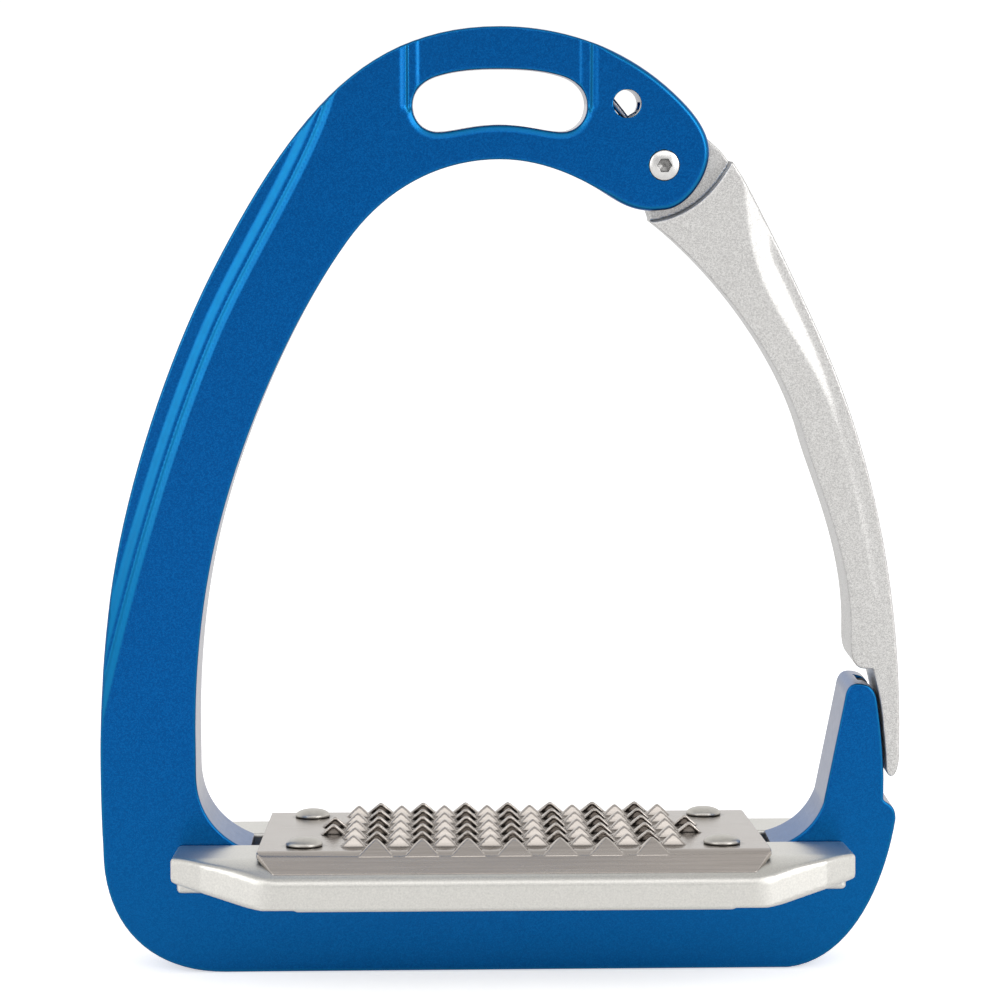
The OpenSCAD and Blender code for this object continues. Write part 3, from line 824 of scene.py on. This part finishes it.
def screw_field(x, y, z):
    """Domed head at the front with a hexagon socket, and a shank behind it."""
    radius = pivot_distance(x, z)
    depth = y + HALF_THICK - 0.98
    dome = np.sqrt(radius ** 2 + (depth - 4.85) ** 2 + 1e-9) - 6.5
    head = both(both(radius - 2.75, depth, 0.12), dome, 0.12)
    shank = both(radius - 1.22, np.maximum(-depth - 0.1, y - 3), 0.15)
    socket = np.maximum(hexagon(x - PIVOT_X, z - PIVOT_Z, 1.36), depth + 0.1 + 0.35 * radius)
    return cut(np.minimum(head, shank), socket, 0.08)


skin("pivot_screw_body", screw_field, *pivot_box(3.2, -HALF_THICK - 1.2, 3.4), 0.10,
     "pivot_screw", "bright_steel", BRIGHT)


def barrel_field(x, y, z):
    """Tube with a flat head at the back, a bore from the front and a slot in the head."""
    radius = pivot_distance(x, z)
    tube_ends = np.maximum(-HALF_THICK + 1 - y, y - HALF_THICK + 0.9)
    head_ends = np.maximum(HALF_THICK - 1.18 - y, y - HALF_THICK - 0.1)
    shape = np.minimum(both(radius - 2.5, tube_ends, 0.12), both(radius - 3.8, head_ends, 0.35))
    shape = cut(shape, np.maximum(radius - 1.25, y - 4), 0.08)
    return cut(shape, np.maximum(np.abs(z - PIVOT_Z) - 0.4, HALF_THICK - 0.5 - y), 0.08)


skin("pivot_barrel_body", barrel_field, *pivot_box(4.2, -HALF_THICK + 0.6, HALF_THICK + 0.5),
     0.15, "pivot_barrel", "bright_steel", BRIGHT)


# ---------------------------------------------------------------- return spring
def tube(path, wire_radius, sides=14):
    """A round wire along a path, with rounded ends."""
    path = np.array(path, float)

    def cap(end, before, steps):
        out = (end - before) / np.linalg.norm(end - before)
        return [(end + out * wire_radius * s, wire_radius * math.sqrt(max(0, 1 - s * s)))
                for s in steps]

    rings = cap(path[0], path[1], (0.97, 0.8, 0.45))
    rings += [(point, wire_radius) for point in path]
    rings += cap(path[-1], path[-2], (0.45, 0.8, 0.97))
    tangents = np.gradient(np.array([centre for centre, _ in rings]), axis=0)
    tangents /= np.linalg.norm(tangents, axis=1)[:, None]
    up = np.array([0.0, 1.0, 0.0] if abs(tangents[0][1]) < 0.8 else [1.0, 0.0, 0.0])
    points = []
    for (centre, radius), tangent in zip(rings, tangents):
        up = up - tangent * up.dot(tangent)
        up /= np.linalg.norm(up)
        side = np.cross(tangent, up)
        for k in range(sides):
            angle = 2 * math.pi * k / sides
            points.append(centre + radius * (math.cos(angle) * up + math.sin(angle) * side))
    last = (len(rings) - 1) * sides
    faces = ring_quads(len(rings), sides)
    faces += [list(range(sides))[::-1], list(range(last, last + sides))]
    return points, faces


def on_pivot(radius, degrees, y):
    x, z = polar(radius, degrees)
    return [x, y, z]


# straight leg inwards, a bend, the coil, and a separate pin that runs back from the coil's end
coil = [on_pivot(17 - 12.1 * k / 8, LEG_ANGLE, LEG_Y) for k in range(9)]
coil += [on_pivot(4.45, LEG_ANGLE - 2, -2.34)]
coil += [on_pivot(COIL_RADIUS, LEG_ANGLE - COIL_SWEEP * k / 96, LEG_Y + 2.275 * k / 96)
         for k in range(2, 97)]
pin = [on_pivot(COIL_RADIUS, END_ANGLE, -0.1 + 2.3 * k / 5) for k in range(6)]
add_mesh("return_spring_wire", *merge([tube(coil, 0.6), tube(pin, 0.58)]), "return_spring",
         "spring_wire", WIRE)

# ---------------------------------------------------------------- closing bumper
bumper_rim = OutlineDistance(
    (70.95, 34.3), (70.05, 34.3), (69.65, 41), (68.95, 47), (68.15, 52), (67.9, 54.5),
    (69.3, 54.5), (69.6, 52), (70.15, 47), (70.75, 41), step=0.06, reach=2.0, margin=1.0)


def bumper_field(x, y, z):
    return both(bumper_rim(x - ORIGIN_X, z - ORIGIN_Z), np.abs(y) - 2, 0.25)


BUMPER_LOW, BUMPER_HIGH = box_mm("closing_bumper")
skin("closing_bumper_pad", bumper_field, BUMPER_LOW - 0.5, BUMPER_HIGH + 0.5, 0.16,
     "closing_bumper", "bumper_rubber", RUBBER)


# ---------------------------------------------------------------- tread screws
def tread_screw_field(screw_x):
    """Field of a screw standing head down: a knurled head with a hexagon socket."""
    def field(x, y, z):
        radius = np.hypot(x - screw_x, y)
        knurl = (0.07 * np.cos(36 * np.arctan2(y, x - screw_x))
                 * ease((z - 3.6) / 0.4) * ease((7.3 - z) / 0.4))
        head = both(radius - 4.2 - knurl, np.maximum(2.9 - z, z - 7.75), 0.4)
        shank = both(radius - 2.45, np.maximum(7.0 - z, z - 23.55), 0.3)
        socket = np.maximum(hexagon(x - screw_x, y, 2.31), z - 5.6)
        return cut(np.minimum(head, shank), socket, 0.12)
    return field


for number, screw_x in enumerate(SCREWS_X, 1):
    skin("tread_screw_%d" % number, tread_screw_field(screw_x), (screw_x - 4.8, -4.8, 2.3),
         (screw_x + 4.8, 4.8, 24.1), 0.24, "footbed_screws", "dark_steel", DARK)

# ---------------------------------------------------------------- pieces kept as they are
for node, material in (("pivot_bush", BRONZE), ("front_thrust_washer", ACETAL),
                       ("rear_thrust_washer", ACETAL), ("footbed_lock_washers", DARK)):
    obj = frame["nodes"][node]
    if obj.data.materials:
        for material_slot in obj.material_slots:
            material_slot.material = material
    else:
        obj.data.materials.append(material)


# ---------------------------------------------------------------- floor
def floor_material():
    """Pale and glowing to the camera, plainer to other rays, and clear from below."""
    material, tree = new_material("floor_pale")
    cloud = noise(tree, coords(tree), scale=30, detail=3)
    seen = add(tree, "BsdfPrincipled", Base_Color=ramp(tree, cloud, (0.3, 0.88), (0.7, 0.91)),
               Roughness=0.9, Specular_IOR_Level=0.05, Emission_Color=(1, 1, 1),
               Emission_Strength=0.52).outputs[0]
    dull = add(tree, "BsdfDiffuse", Color=(0.90, 0.90, 0.90)).outputs[0]
    lift = add(tree, "Emission", Color=(1, 1, 1), Strength=0.10).outputs[0]
    unseen = wire(add(tree, "AddShader"), dull, lift)
    ray = add(tree, "LightPath").outputs
    shader = wire(add(tree, "MixShader"), ray["Is Camera Ray"], unseen, seen)
    # where the iron touches the floor its underside gets a little light of its own
    glow = add(tree, "Emission", Color=(1, 1, 1), Strength=0.55).outputs[0]
    near = calc(tree, "LESS_THAN", ray["Ray Length"], 0.0006)
    off_camera = calc(tree, "SUBTRACT", 1.0, ray["Is Camera Ray"])
    touching = calc(tree, "MULTIPLY", near, off_camera)
    shader = wire(add(tree, "MixShader"), touching, shader, glow)
    # from below the floor is left out, so that the underside can be looked at
    below = add(tree, "NewGeometry").outputs["Backfacing"]
    clear = add(tree, "BsdfTransparent").outputs[0]
    shader = wire(add(tree, "MixShader"), below, shader, clear)
    add(tree, "OutputMaterial", Surface=shader)
    return material


floor_mesh = bpy.data.meshes.new("floor")
floor_mesh.from_pydata([(-30, -30, 0), (30, -30, 0), (30, 60, 0), (-30, 60, 0)], [],
                       [(0, 1, 2, 3)])
floor = bpy.data.objects.new("floor", floor_mesh)
floor.location.z = cad_lo.z - 0.0001
bpy.context.scene.collection.objects.link(floor)
floor_mesh.materials.append(floor_material())

# ---------------------------------------------------------------- world
world = bpy.data.worlds.new("studio")
bpy.context.scene.world = world
world.use_nodes = True
tree = world.node_tree
tree.nodes.clear()
seen = add(tree, "Background", Color=(1, 1, 1), Strength=1.05).outputs[0]
direction = add(tree, "SeparateXYZ", Vector=add(tree, "TexCoord").outputs["Generated"]).outputs
# the ceiling and the side behind the camera are dimmer than the sides and the back
depth = calc(tree, "ADD", calc(tree, "MULTIPLY", direction["Y"], 0.5), 0.5)
walls = ramp(tree, depth, (0.0, (0.72, 0.72, 0.73)), (0.35, (0.78, 0.78, 0.79)), (0.62, 1.0))
ceiling = ramp(tree, direction["Z"], (0.35, 1.0), (0.85, 0.70))
room = add(tree, "Background", Color=mix(tree, 1.0, walls, ceiling, "MULTIPLY"),
           Strength=1.0).outputs[0]
camera_ray = add(tree, "LightPath").outputs["Is Camera Ray"]
add(tree, "OutputWorld", Surface=wire(add(tree, "MixShader"), camera_ray, room, seen))

# ---------------------------------------------------------------- lights
# name, place in metres, width and height in metres, power in watts
SOFTBOXES = (
    ("softbox_left", (-1.05, -0.9, 0.64), (0.6, 1.15), 4),
    ("softbox_right", (1.05, -0.95, 0.62), (0.6, 1.15), 7),
    ("softbox_front", (0, -0.85, 0.9), (1.0, 0.45), 1.5))
for name, place, size, power in SOFTBOXES:
    light = bpy.data.lights.new(name, "AREA")
    light.shape = "RECTANGLE"
    light.size, light.size_y = size
    light.energy = power
    obj = bpy.data.objects.new(name, light)
    obj.location = place
    aim = (cad_lo + cad_hi) / 2 - Vector(place)
    obj.rotation_euler = aim.to_track_quat("-Z", "Y").to_euler()
    bpy.context.scene.collection.objects.link(obj)

# ---------------------------------------------------------------- camera
camera_data = bpy.data.cameras.new("camera")
camera_data.sensor_width = 36
camera_data.lens = 97.92
camera_data.clip_start, camera_data.clip_end = 0.01, 60
camera = bpy.data.objects.new("camera", camera_data)
camera.location = (-0.011787, -0.504051, 0.162445)
# looking to the back, a little down and a little towards +X
camera.rotation_euler = Euler((math.radians(90 - 8.26277), 0, math.radians(-1.35473)))
bpy.context.scene.collection.objects.link(camera)
bpy.context.scene.camera = camera
bpy.context.scene.view_settings.view_transform = "Standard"
